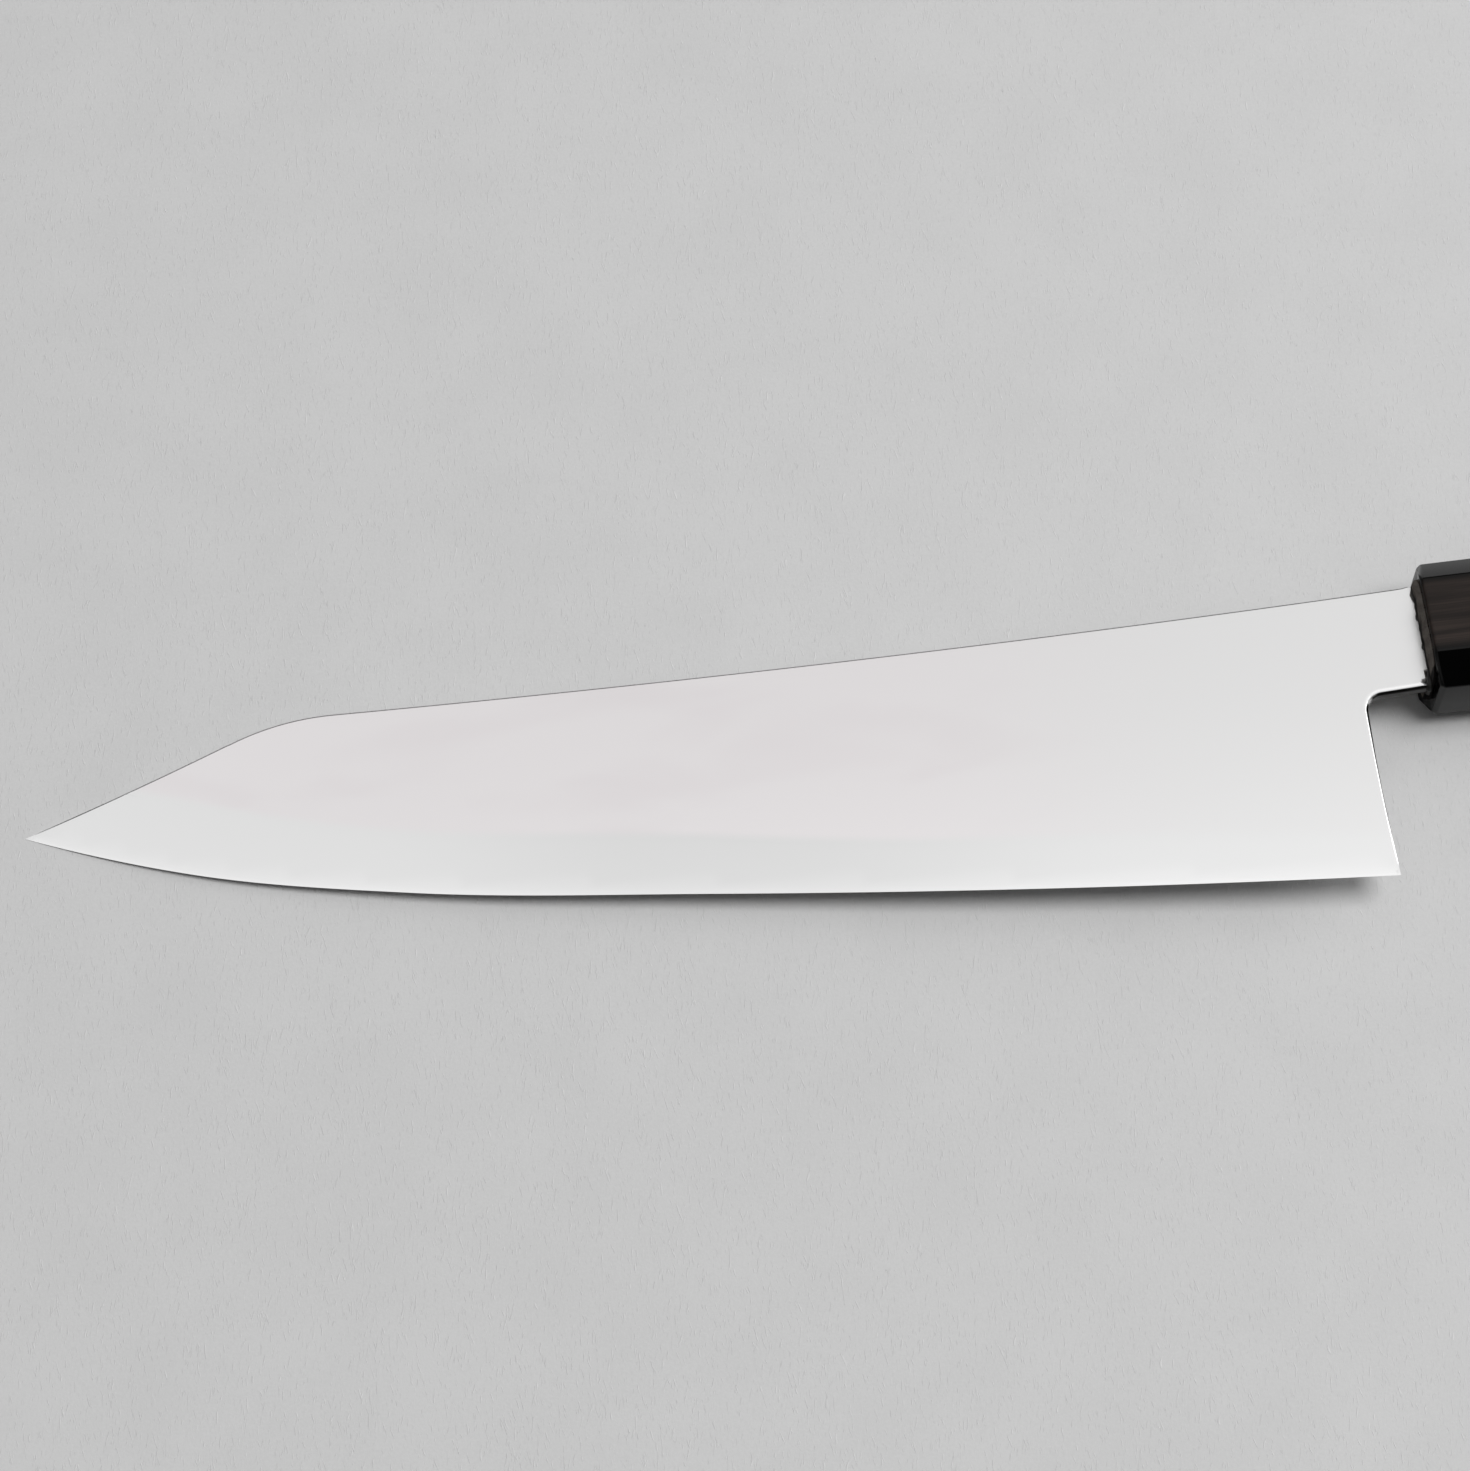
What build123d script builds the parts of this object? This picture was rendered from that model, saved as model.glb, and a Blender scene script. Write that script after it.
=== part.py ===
from build123d import *

import os
from math import radians, tan

# A kiritsuke kitchen knife: a blade forged in three layers, with a nearly straight edge and an angled tip,
# glued by its tang into an eight sided wooden handle with a horn ferrule. Millimetres and degrees.
# X runs from the tip to the butt, Y from the cutting edge to the spine, and Z up through the blade's faces.
# The knife lies on its right face, and the origin is at the middle of the underside of its box.
# Reaches are measured ahead of the ferrule's front face, rises and drops from the handle's axis.

# Blade outline
tip_reach = 217
tip_drop = 7.4
heel_reach = 9.8
heel_drop = 38.1
edge_shares = [(0.25, 0.132), (0.5, 0.304), (0.72, 0.487), (0.88, 0.715)]  # of run and rise from the heel
point_run = 40
point_hollow = 0.35
corner_rise = 7.8
corner_radius = 40
spine_rise = 8.6
spine_hollow = 1.3
choil_lean = 0.25
choil_hollow = 0.3
neck_drop = 8.45
neck_flare = 0.45
neck_radius = 2.6

# Blade section: a convex wedge, with a small bevel at the edge and its thick corners eased
spine_thickness_heel = 2.9
spine_thickness_tip = 0.9
core_thickness = 0.8
face_bulge_share = 0.25  # of the change in half thickness between spine and bevel
bevel_height = 0.7
bevel_thickness = 0.2
edge_land = 0.06
ease_depth = 0.8  # distance from the blade's middle plane where the easing starts
grind_shares = [0, 0.2, 0.4, 0.6, 0.8, 1]  # places along the cutting edge where the section is drawn

# Tang
tang_length = 95
tang_height_front = 11
tang_height_end = 6
tang_thickness_front = 2.4
tang_thickness_end = 1.8
resin_gap = 0.5

# Handle
handle_length = 133
handle_height = 21.1
handle_width = 18.7
handle_corner = 4.4
handle_taper = 0.5
front_ease = 0.6
butt_ease = 1.2
ferrule_length = 27
ferrule_wall = 2

# Wooden core that fills the ferrule and runs on as a dowel into the handle's bore
core_corner = 4.5
dowel_diameter = 14
dowel_end_wall = 7.5
glue_gap = 0.05
bore_end_gap = 1

# Bead that closes the mouth of the tang's slot
seal_width = 0.45
seal_height = 0.5
seal_taper = 25

overrun = 2

# Places that follow from the sizes
butt_spread = (handle_length - butt_ease) * tan(radians(handle_taper))
butt_half_height = handle_height / 2 + butt_spread
butt_half_width = handle_width / 2 + butt_spread
axis_origin = ((tip_reach - handle_length) / 2, (heel_drop - butt_half_height) / 2, butt_half_width)
blade_plane = Plane(origin=axis_origin)
section_plane = Plane(origin=axis_origin, x_dir=(0, 1, 0), z_dir=(1, 0, 0))
mouth_plane = Plane(origin=axis_origin, x_dir=(0, 1, 0), z_dir=(-1, 0, 0))
ferrule_joint = section_plane.offset(ferrule_length)
core_top = blade_plane.offset(core_thickness / 2)
core_bottom = blade_plane.offset(-core_thickness / 2)
core_height = handle_height - 2 * ferrule_wall
core_width = handle_width - 2 * ferrule_wall
dowel_length = tang_length + resin_gap + dowel_end_wall - ferrule_length

os.makedirs("parts", exist_ok=True)


def spine_thickness(reach):
    """Thickness of the blade at its spine, which tapers evenly from the heel to the tip."""
    share = (reach - heel_reach) / (tip_reach - heel_reach)
    return spine_thickness_heel + (spine_thickness_tip - spine_thickness_heel) * share


# The cutting edge, drawn from the heel to the tip
heel = (-heel_reach, -heel_drop)
tip = (-tip_reach, -tip_drop)
edge_run = tip_reach - heel_reach
edge_rise = heel_drop - tip_drop
edge_points = [(-heel_reach - run * edge_run, -heel_drop + rise * edge_rise) for run, rise in edge_shares]
with BuildLine() as cutting_edge:
    Spline(heel, *edge_points, tip)

# The ground bar: its section follows the cutting edge, and runs on straight to the ferrule and past the tip
edge = cutting_edge.line
past_heel = edge @ 0 + (edge % 0) * (heel_reach / (edge % 0).X)
past_tip = edge @ 1 + (edge % 1) * overrun
back = spine_rise + overrun
bevel_half = bevel_thickness / 2
with BuildPart() as ground_bar:
    for point in [past_heel, *[edge @ share for share in grind_shares], past_tip]:
        spine_half = spine_thickness(-point.X) / 2
        bevel_top = point.Y + bevel_height
        bulge = face_bulge_share * (spine_half - bevel_half)
        face_middle = ((back + bevel_top) / 2, (spine_half + bevel_half) / 2 + bulge)
        with BuildSketch(section_plane.offset(point.X)):
            with BuildLine():
                Line((back, 0), (back, spine_half))
                ThreePointArc((back, spine_half), face_middle, (bevel_top, bevel_half))
                Polyline((bevel_top, bevel_half), (point.Y, edge_land / 2), (point.Y, 0))
                mirror(about=Plane.XZ)
            make_face()
    loft()

# The outline cuts the neck, the choil, the spine and the angled tip. It stays clear of the edge itself.
choil_top = (-heel_reach - choil_lean, -neck_drop - neck_flare)
corner = (-tip_reach + point_run, corner_rise)
below = -heel_drop - overrun
with BuildSketch() as outline:
    with BuildLine():
        Polyline(choil_top, (0, -neck_drop), (overrun, -neck_drop), (overrun, spine_rise), (0, spine_rise))
        SagittaArc((0, spine_rise), corner, spine_hollow)
        slant = SagittaArc(corner, tip, point_hollow)
        beyond = slant @ 1 + (slant % 1) * overrun
        Polyline(tip, beyond, (beyond.X, below), (-heel_reach, below), heel)
        SagittaArc(heel, choil_top, choil_hollow)
    make_face()
    fillet(outline.vertices().sort_by_distance(corner)[0], corner_radius)
    fillet(outline.vertices().sort_by_distance(choil_top)[0], neck_radius)

# The whole blade: the outline with its eased corners, thinned to the ground bar, and the tang behind it
with BuildPart() as blade:
    with BuildSketch(blade_plane):
        add(outline.sketch)
    extrude(amount=spine_thickness(0) / 2, both=True)
    sides = blade.faces().sort_by(Axis.Z)
    chamfer(sides[0].edges() + sides[-1].edges(), spine_thickness(0) / 2 - ease_depth)
    add(ground_bar.part, mode=Mode.INTERSECT)
    with BuildSketch(section_plane):
        Rectangle(tang_height_front, tang_thickness_front)
    with BuildSketch(section_plane.offset(tang_length)):
        Rectangle(tang_height_end, tang_thickness_end)
    loft(ruled=True)

# Hard core layer, which holds the cutting edge
with BuildPart() as core_steel:
    add(blade.part)
    split(bisect_by=core_top, keep=Keep.BOTTOM)
    split(bisect_by=core_bottom, keep=Keep.TOP)
core_steel.part.label = "core_steel"
export_step(core_steel.part, "parts/core_steel.step")

# Softer layers welded to both sides of it
with BuildPart() as cladding_left:
    add(blade.part)
    split(bisect_by=core_top, keep=Keep.TOP)
cladding_left.part.label = "cladding_left"
export_step(cladding_left.part, "parts/cladding_left.step")

with BuildPart() as cladding_right:
    add(blade.part)
    split(bisect_by=core_bottom, keep=Keep.BOTTOM)
cladding_right.part.label = "cladding_right"
export_step(cladding_right.part, "parts/cladding_right.step")

# The outer form of the handle, before it is told apart into ferrule and body
with BuildPart() as handle_form:
    with BuildSketch(section_plane) as octagon:
        Rectangle(handle_height, handle_width)
        chamfer(octagon.vertices(), handle_corner)
    extrude(amount=handle_length)
    draft(handle_form.faces().sort_by(Axis.X)[1:-1], section_plane, -handle_taper)
    chamfer(handle_form.faces().sort_by(Axis.X)[0].edges(), front_ease)
    chamfer(handle_form.faces().sort_by(Axis.X)[-1].edges(), butt_ease)

# Horn ring at the front of the handle
with BuildPart() as ferrule:
    add(handle_form.part)
    split(bisect_by=ferrule_joint, keep=Keep.BOTTOM)
    with BuildSketch(section_plane.offset(-overrun)):
        RectangleRounded(core_height, core_width, core_corner)
    extrude(amount=ferrule_length + 2 * overrun, mode=Mode.SUBTRACT)
ferrule.part.label = "ferrule"
export_step(ferrule.part, "parts/ferrule.step")

# Wooden body, with a blind bore for the dowel
with BuildPart() as handle_body:
    add(handle_form.part)
    split(bisect_by=ferrule_joint, keep=Keep.TOP)
    with BuildSketch(ferrule_joint):
        Circle(dowel_diameter / 2 + glue_gap)
    extrude(amount=dowel_length + bore_end_gap, mode=Mode.SUBTRACT)
handle_body.part.label = "handle_body"
export_step(handle_body.part, "parts/handle_body.step")

# The slot that the tang is bedded in
with BuildPart() as slot:
    with BuildSketch(section_plane):
        Rectangle(tang_height_front + 2 * resin_gap, tang_thickness_front + 2 * resin_gap)
    with BuildSketch(section_plane.offset(tang_length + resin_gap)):
        Rectangle(tang_height_end + 2 * resin_gap, tang_thickness_end + 2 * resin_gap)
    loft(ruled=True)

# Wooden core and dowel
with BuildPart() as tang_dowel:
    with BuildSketch(section_plane):
        RectangleRounded(core_height - 2 * glue_gap, core_width - 2 * glue_gap, core_corner - glue_gap)
    extrude(amount=ferrule_length)
    with BuildSketch(ferrule_joint):
        Circle(dowel_diameter / 2)
    extrude(amount=dowel_length)
    add(slot.part, mode=Mode.SUBTRACT)
tang_dowel.part.label = "tang_dowel"
export_step(tang_dowel.part, "parts/tang_dowel.step")

# Resin that fills what the tang leaves of its slot
with BuildPart() as tang_resin:
    add(slot.part)
    add(blade.part, mode=Mode.SUBTRACT)
tang_resin.part.label = "tang_resin"
export_step(tang_resin.part, "parts/tang_resin.step")

# Bead round the neck, on the front face of the core and the ferrule
with BuildPart() as neck_seal:
    with BuildSketch(mouth_plane):
        with Locations(((spine_rise - neck_drop) / 2, 0)):
            Rectangle(spine_rise + neck_drop + 2 * seal_width, spine_thickness(0) + 2 * seal_width)
    extrude(amount=seal_height, taper=seal_taper)
    add(blade.part, mode=Mode.SUBTRACT)
neck_seal.part.label = "neck_seal"
export_step(neck_seal.part, "parts/neck_seal.step")
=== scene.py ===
from math import ceil, cos, pi, radians, sin, tan

import bpy
import numpy
from mathutils import Matrix, Vector
from mathutils.geometry import delaunay_2d_cdt


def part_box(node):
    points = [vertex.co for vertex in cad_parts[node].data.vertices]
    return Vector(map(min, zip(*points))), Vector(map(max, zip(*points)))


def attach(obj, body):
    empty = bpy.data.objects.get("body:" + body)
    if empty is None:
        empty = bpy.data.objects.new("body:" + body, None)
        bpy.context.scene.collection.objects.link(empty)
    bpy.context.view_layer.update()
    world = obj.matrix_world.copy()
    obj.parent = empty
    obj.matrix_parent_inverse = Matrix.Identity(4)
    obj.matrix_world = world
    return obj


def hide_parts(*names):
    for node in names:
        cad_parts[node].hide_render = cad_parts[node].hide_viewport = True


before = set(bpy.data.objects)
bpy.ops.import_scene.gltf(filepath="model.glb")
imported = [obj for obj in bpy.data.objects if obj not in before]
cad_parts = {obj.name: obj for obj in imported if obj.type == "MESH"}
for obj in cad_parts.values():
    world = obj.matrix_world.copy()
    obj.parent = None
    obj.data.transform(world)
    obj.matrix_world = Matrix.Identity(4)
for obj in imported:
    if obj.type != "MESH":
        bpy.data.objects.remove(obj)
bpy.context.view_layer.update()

# Camera
# It looks down on the knife's left face from the edge's side, through a short telephoto lens. Its place is
# measured from the middle of the handle's front, where the blade goes in.
mm = 0.001
ferrule_low, ferrule_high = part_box("ferrule")
front_y = (ferrule_low.y + ferrule_high.y) / 2
front_z = (ferrule_low.z + ferrule_high.z) / 2
handle_front = Vector((ferrule_low.x, front_y, front_z))
camera_offset = Vector((-111.8, -221.3, 501.3)) * mm
camera_look = Vector((0.00880, 0.39884, -0.91698))
camera_up = Vector((0.11030, 0.91103, 0.39731))
camera_data = bpy.data.cameras.new("camera")
camera_data.lens = 86.86
camera_data.sensor_width = 36
camera_data.sensor_fit = "HORIZONTAL"
camera_data.clip_start = 0.01
camera = bpy.data.objects.new("camera", camera_data)
camera_right = camera_look.cross(camera_up)
camera_axes = Matrix((camera_right, camera_up, -camera_look)).transposed().to_4x4()
camera.matrix_world = Matrix.Translation(handle_front + camera_offset) @ camera_axes
bpy.context.scene.collection.objects.link(camera)
bpy.context.scene.camera = camera

# Table
# A sheet of pale grey paper with long fibres in it, on a flat table. The knife lies on its right face, and
# touches the paper with its tip and with the front of its handle. So the paper rises towards the tip.
core_low, core_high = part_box("core_steel")
edge_half_land = 0.03
front_half_width = 9.35
front_ease = 0.6
table_half = 1.6
paper_tone = 0.66
paper_fleck_tone = 0.7
paper_shade_tone = 0.635
paper_shade_range = (0.35, 0.65)
paper_cloud = 14 * mm
paper_speck = 0.45 * mm
paper_relief = 0.02 * mm
fibre_width = 0.22 * mm
fibre_length = 2.2 * mm
fibre_turns = (-13, 2, 15)
fibre_bend = 0.35
fibre_range = (0.66, 0.8)
fibre_height = 2.0  # as a multiple of a speck's


class Nodes:
    """Adds nodes to a tree, and sets or links their inputs."""

    def __init__(self, tree):
        self.tree = tree

    def add(self, kind, inputs=(), **settings):
        node = self.tree.nodes.new(kind)
        for name, value in settings.items():
            setattr(node, name, value)
        for socket, value in dict(inputs).items():
            if isinstance(value, bpy.types.NodeSocket):
                self.tree.links.new(value, node.inputs[socket])
            else:
                node.inputs[socket].default_value = value
        return node.outputs

    def math(self, operation, *values):
        return self.add("ShaderNodeMath", dict(enumerate(values)), operation=operation)[0]

    def step(self, value, source, levels=(0, 1)):
        """A smooth step from one level to the other, while the value crosses the source range."""
        (low, high), (start, end) = source, levels
        ends = {"Value": value, "From Min": low, "From Max": high, "To Min": start, "To Max": end}
        return self.add("ShaderNodeMapRange", ends, interpolation_type="SMOOTHSTEP")[0]

    def noise(self, place, sizes, turn=0, **inputs):
        """Noise with grains of these sizes along X, Y and Z, turned about Z."""
        turned = self.add("ShaderNodeMapping", {"Vector": place, "Rotation": (0, 0, radians(turn))})[0]
        scaled = self.add("ShaderNodeMapping", {"Vector": turned, "Scale": [1 / size for size in sizes]})[0]
        return self.add("ShaderNodeTexNoise", {"Vector": scaled, "Scale": 1, **inputs})[0]

    def colour(self, share, first, second):
        """A colour between two others, which are sockets or red, green and blue."""
        first, second = (c if isinstance(c, bpy.types.NodeSocket) else (*c, 1) for c in (first, second))
        return self.add("ShaderNodeMix", {0: share, 6: first, 7: second}, data_type="RGBA")[2]

    def bump(self, height, depth):
        return self.add("ShaderNodeBump", {"Height": height, "Distance": depth, "Strength": 1})[0]


def new_finish(name, **uniform):
    """A material, its nodes, its shader's inputs and the place on the piece. The uniform values are set."""
    finish = bpy.data.materials.new(name)
    finish.use_nodes = True
    nodes = Nodes(finish.node_tree)
    shader = finish.node_tree.nodes["Principled BSDF"].inputs
    for socket, value in uniform.items():
        shader[socket.replace("_", " ")].default_value = value
    place = nodes.add("ShaderNodeTexCoord")["Object"]
    return finish, nodes, shader, place


def grey(tone):
    return (tone, tone, tone)


rest_point = handle_front + Vector((front_ease, 0, -front_half_width)) * mm
tip_point = Vector((core_low.x, handle_front.y, handle_front.z - edge_half_land * mm))
table_along = (rest_point - tip_point).normalized() * table_half
table_across = Vector((0, table_half, 0))
corner_sides = ((-1, -1), (1, -1), (1, 1), (-1, 1))
table_corners = [rest_point + table_along * i + table_across * j for i, j in corner_sides]
table_mesh = bpy.data.meshes.new("table")
table_mesh.from_pydata(table_corners, [], [(0, 1, 2, 3)])
table = bpy.data.objects.new("table", table_mesh)
bpy.context.scene.collection.objects.link(table)

paper, nodes, shader, place = new_finish("grey_paper", Roughness=0.9, Specular_IOR_Level=0.1)
cloud = nodes.noise(place, (paper_cloud,) * 3, Detail=4.0)
speck = nodes.noise(place, (paper_speck,) * 3, Detail=2.0)
mottle = nodes.math("ADD", nodes.math("MULTIPLY", cloud, 0.5), nodes.math("MULTIPLY", speck, 0.5))
paper_colour = nodes.colour(nodes.step(mottle, paper_shade_range), grey(paper_shade_tone), grey(paper_tone))
fibres = 0.0
for turn in fibre_turns:
    sizes = (fibre_width, fibre_length, paper_cloud)
    strokes = nodes.noise(place, sizes, turn, Detail=1.0, Distortion=fibre_bend)
    fibres = nodes.math("MAXIMUM", nodes.step(strokes, fibre_range), fibres)
paper_colour = nodes.colour(fibres, paper_colour, grey(paper_fleck_tone))
nodes.tree.links.new(paper_colour, shader["Base Color"])
paper_height = nodes.math("ADD", nodes.math("MULTIPLY", fibres, fibre_height), speck)
nodes.tree.links.new(nodes.bump(paper_height, paper_relief), shader["Normal"])
table_mesh.materials.append(paper)

# Light
# One large soft lamp hangs high above, beyond the handle's end, and casts the close shadows. A dim one
# stands low there. The pale room shines in the steel, most of all from over the table's front. It has a dark
# place low in front and a paler one low behind.
top_lamp = {"place": (1.5, -0.2, 4.0), "width": 2.2, "watts": 123.0, "mirrored": False}
side_lamp = {"place": (1.15, 0.4, 0.55), "width": 1.1, "watts": 5.5, "mirrored": True}
room_height_range = (0.2, 0.85)
room_low = 0.5
matt_height_range = (0.4, 0.85)
matt_low = 0.02
matt_level = 0.28
glow_axis = Vector((0.1, -0.6, 0.79)).normalized()
glow_range = (0.5, 0.82)
glow_levels = (0.98, 1.4)
dark_axis = Vector((0.2, 0.9, 0.25)).normalized()
dark_range = (0.84, 0.95)
dark_levels = (0.03, 0.2)
dark_turn_range = (-0.2, 0.2)
room_side_range = (0, 0.45)
room_side_levels = (1, 1.1)
backdrop_tone = 0.6

for name, lamp in (("top_lamp", top_lamp), ("side_lamp", side_lamp)):
    lamp_data = bpy.data.lights.new(name, "AREA")
    lamp_data.shape = "DISK"
    lamp_data.size = lamp["width"]
    lamp_data.energy = lamp["watts"]
    lamp_object = bpy.data.objects.new(name, lamp_data)
    lamp_object.visible_glossy = lamp["mirrored"]
    lamp_place = Vector(lamp["place"])
    facing = lamp_place.to_track_quat("Z", "Y").to_matrix().to_4x4()
    lamp_object.matrix_world = Matrix.Translation(lamp_place) @ facing
    bpy.context.scene.collection.objects.link(lamp_object)

world = bpy.data.worlds.new("studio")
bpy.context.scene.world = world
world.use_nodes = True
sky = Nodes(world.node_tree)
background = world.node_tree.nodes["Background"].inputs
background["Color"].default_value = (1, 1, 1, 1)
way = sky.add("ShaderNodeTexCoord")["Generated"]
heading = sky.add("ShaderNodeSeparateXYZ", {"Vector": way})
toward_glow = sky.add("ShaderNodeVectorMath", {0: way, 1: glow_axis}, operation="DOT_PRODUCT")["Value"]
folded = sky.add("ShaderNodeVectorMath", {0: way}, operation="ABSOLUTE")[0]
toward_dark = sky.add("ShaderNodeVectorMath", {0: folded, 1: dark_axis}, operation="DOT_PRODUCT")["Value"]
dark_level = sky.step(heading["Y"], dark_turn_range, dark_levels)
mirrored = sky.step(heading["Z"], room_height_range, (room_low, 1))
mirrored = sky.math("MULTIPLY", mirrored, sky.step(toward_glow, glow_range, glow_levels))
mirrored = sky.math("MULTIPLY", mirrored, sky.step(toward_dark, dark_range, (1, dark_level)))
sideways = sky.math("ABSOLUTE", heading["X"])
mirrored = sky.math("MULTIPLY", mirrored, sky.step(sideways, room_side_range, room_side_levels))
on_matt = sky.step(heading["Z"], matt_height_range, (matt_low, matt_level))
ray = sky.add("ShaderNodeLightPath")
room = sky.add("ShaderNodeMix", {"Factor": ray["Is Glossy Ray"], "A": on_matt, "B": mirrored})["Result"]
seen = sky.add("ShaderNodeMix", {"Factor": ray["Is Camera Ray"], "A": room, "B": backdrop_tone})["Result"]
world.node_tree.links.new(seen, background["Strength"])
bpy.context.scene.view_settings.view_transform = "Standard"

# Blade
# One bar of three steel layers, forged, ground to a thin convex wedge and polished by hand. Its spine, neck
# and choil are eased round, and its tang runs on into the handle. The layers share its outline.
tip_reach = (handle_front.x - core_low.x) / mm
tang_length = (core_high.x - handle_front.x) / mm
heel_drop = (handle_front.y - core_low.y) / mm
heel_reach = 9.8
tip_drop = 7.4
edge_run_shares = (0, 0.25, 0.5, 0.72, 0.88, 1)
edge_rise_shares = (0, 0.132, 0.304, 0.487, 0.715, 1)
point_run = 40
point_hollow = 0.35
corner_rise = 7.8
corner_radius = 40
spine_rise = 8.6
spine_hollow = 1.3
choil_lean = 0.25
choil_hollow = 0.3
neck_drop = 8.45
neck_flare = 0.45
neck_radius = 2.6
tang_half_front = 5.5
tang_half_end = 3
tang_thickness_front = 2.4
tang_thickness_end = 1.8
shoulder = 0.1
spine_thickness_heel = 2.9
spine_thickness_tip = 0.9
wedge_top = 10.6
bevel_height = 0.7
bevel_half = 0.1
weld_half = 0.4
weld_wave = 0.012
short_wave = {"length": 11, "wander": 0.6, "wander_length": 37}
long_wave = {"height_share": 0.8, "length": 29, "cross_length": 9}
weld_wave_share = 0.13  # of the wedge's height, where the weld line reads its wave
weld_first_x = -206.5  # nearer the tip, the whole face is core
weld_step = 1.2
neck_ease_share = 0.4
neck_ease_width_share = 0.47
neck_ease_least_width = 0.36
spine_ease = 0.25
spine_ease_width = 0.32
neck_swell = 0.145
neck_swell_run = 3.4
border_steps = {"choil": 1, "neck": 0.8, "neck_corner": 0.3, "spine": 1.6, "point": 1, "point_corner": 1}
edge_steps = 160
ease_insets = (0.04, 0.13, 0.26, 0.4, 0.65, 1, 1.4)
ease_clear_share = 0.98
ease_above_bevel = 0.3
bevel_first_station = 3  # the bevel's line starts a little behind the tip
neck_rows = (0.25, 0.7, 1.3, 2.1, 3)  # before the handle, where the neck swells
neck_row_top = 1.6
neck_row_step = 1.4
neck_row_count = 11
tang_row_shares = [1 - i / 3 for i in range(7)]
tang_stations = range(6, 90, 7)
grid = 2.6
grid_row_share = 0.87
grid_span = (-215, -1)
grid_clearance = 2.2
overrun = 1
inside_outline = 1
same_place = 1e-5
height_digits = 5
sharp_angle = radians(32)
core_colour = (0.68, 0.68, 0.68)
# Painted sheen: the core's colour brightens towards the heel and the tip, standing in for brighter
# reflections there.
core_painted_sheen = (0.73, 0.73, 0.73)
heel_sheen_range = (-105, -45)
tip_sheen_range = (-120, -165)
# Painted shade: the neck's lower side is darkened towards this near black, for the shade its rounded steel
# mirrors.
neck_painted_shade = (0.012, 0.0105, 0.0095)
neck_shade_start = -9.2
neck_shade_width = 0.42
neck_shade_full = 1.25
cladding_colour = (0.725, 0.722, 0.722)
cladding_tint = (0.735, 0.712, 0.719)
cladding_cloud = (0.715, 0.687, 0.696)
cloud_size = (34 * mm, 11 * mm, 11 * mm)
cloud_range = (0.45, 0.72)
tint_range = (-30, -85)
weld_blend = 2
noise_spread = (0.3, 0.7)  # most of what a noise gives
mark_size = (40 * mm, 0.12 * mm, 2 * mm)
mark_blur = (0.15, 0.19)
mark_depth = 0.0004 * mm
streak_size = (90 * mm, 1.4 * mm, 4 * mm)
streak_range = (0.4, 0.7)
streak_blur = (0, 0.02)


def bow(start, end, hollow, step):
    """Points of a shallow curve that bends to the left of its way, towards the steel."""
    way = end - start
    left = Vector((-way.y, way.x)).normalized()
    count = max(1, round(way.length / step))
    shares = [i / count for i in range(count + 1)]
    return [start + way * share + left * hollow * 4 * share * (1 - share) for share in shares]


def round_corner(before, after, radius, step):
    """Two stretches that meet in a corner, joined by an arc."""
    corner = after[0]
    back = (before[-2] - corner).normalized()
    on = (after[1] - corner).normalized()
    half_angle = back.angle(on) / 2
    trim = radius / tan(half_angle)
    centre = corner + (back + on).normalized() * radius / sin(half_angle)
    first = (corner + back * trim - centre).normalized()
    last = (corner + on * trim - centre).normalized()
    count = max(2, round(first.angle(last) * radius / step))
    arc = [centre + first.slerp(last, i / count) * radius for i in range(count + 1)]
    clear_before = [point for point in before if (point - corner).length > trim]
    clear_after = [point for point in after if (point - corner).length > trim]
    return clear_before + arc + clear_after


def edge_height(x):
    """Height of the cutting edge, a smooth curve through a few shares of its run and rise."""
    runs = numpy.array(edge_run_shares)
    rises = numpy.array(edge_rise_shares)
    widths = numpy.diff(runs)
    chords = numpy.diff(rises) / widths
    inner = (chords[:-1] * widths[1:] + chords[1:] * widths[:-1]) / (widths[:-1] + widths[1:])
    slopes = numpy.concatenate(([2 * chords[0] - inner[0]], inner, [2 * chords[-1] - inner[-1]]))
    run = (-heel_reach - numpy.asarray(x, float)) / (tip_reach - heel_reach)
    k = numpy.clip(numpy.searchsorted(runs, run, side="right") - 1, 0, len(widths) - 1)
    t = numpy.clip((run - runs[k]) / widths[k], 0, 1)
    start = (1 + 2 * t) * (1 - t) ** 2 * rises[k] + t * (1 - t) ** 2 * widths[k] * slopes[k]
    end = t * t * (3 - 2 * t) * rises[k + 1] - t * t * (1 - t) * widths[k] * slopes[k + 1]
    past_heel = slopes[0] * numpy.minimum(run, 0)
    return -heel_drop + (start + end + past_heel) * (heel_drop - tip_drop)


def spine_half(x):
    """Half the thickness at the spine, which thins evenly towards the tip."""
    share = (-x - heel_reach) / (tip_reach - heel_reach)
    return (spine_thickness_heel + (spine_thickness_tip - spine_thickness_heel) * share) / 2


def weld_height_half(x, y):
    """Half the core's thickness: the weld is slightly wavy."""
    wander = short_wave["wander"] * numpy.sin(x / short_wave["wander_length"])
    short = numpy.sin(x / short_wave["length"] + wander)
    long = long_wave["height_share"] * numpy.sin(x / long_wave["length"] + y / long_wave["cross_length"])
    return weld_half + weld_wave * (short + long)


def weld_line(x):
    """Height on the face where the core comes out from under the outer layers."""
    bevel_top = edge_height(x) + bevel_height
    start = bevel_top + weld_wave_share * (wedge_top - bevel_top)
    swell = (weld_height_half(x, start) - bevel_half) / (spine_half(x) - bevel_half)
    return bevel_top + (1 - numpy.sqrt(1 - swell)) * (wedge_top - bevel_top)


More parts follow.
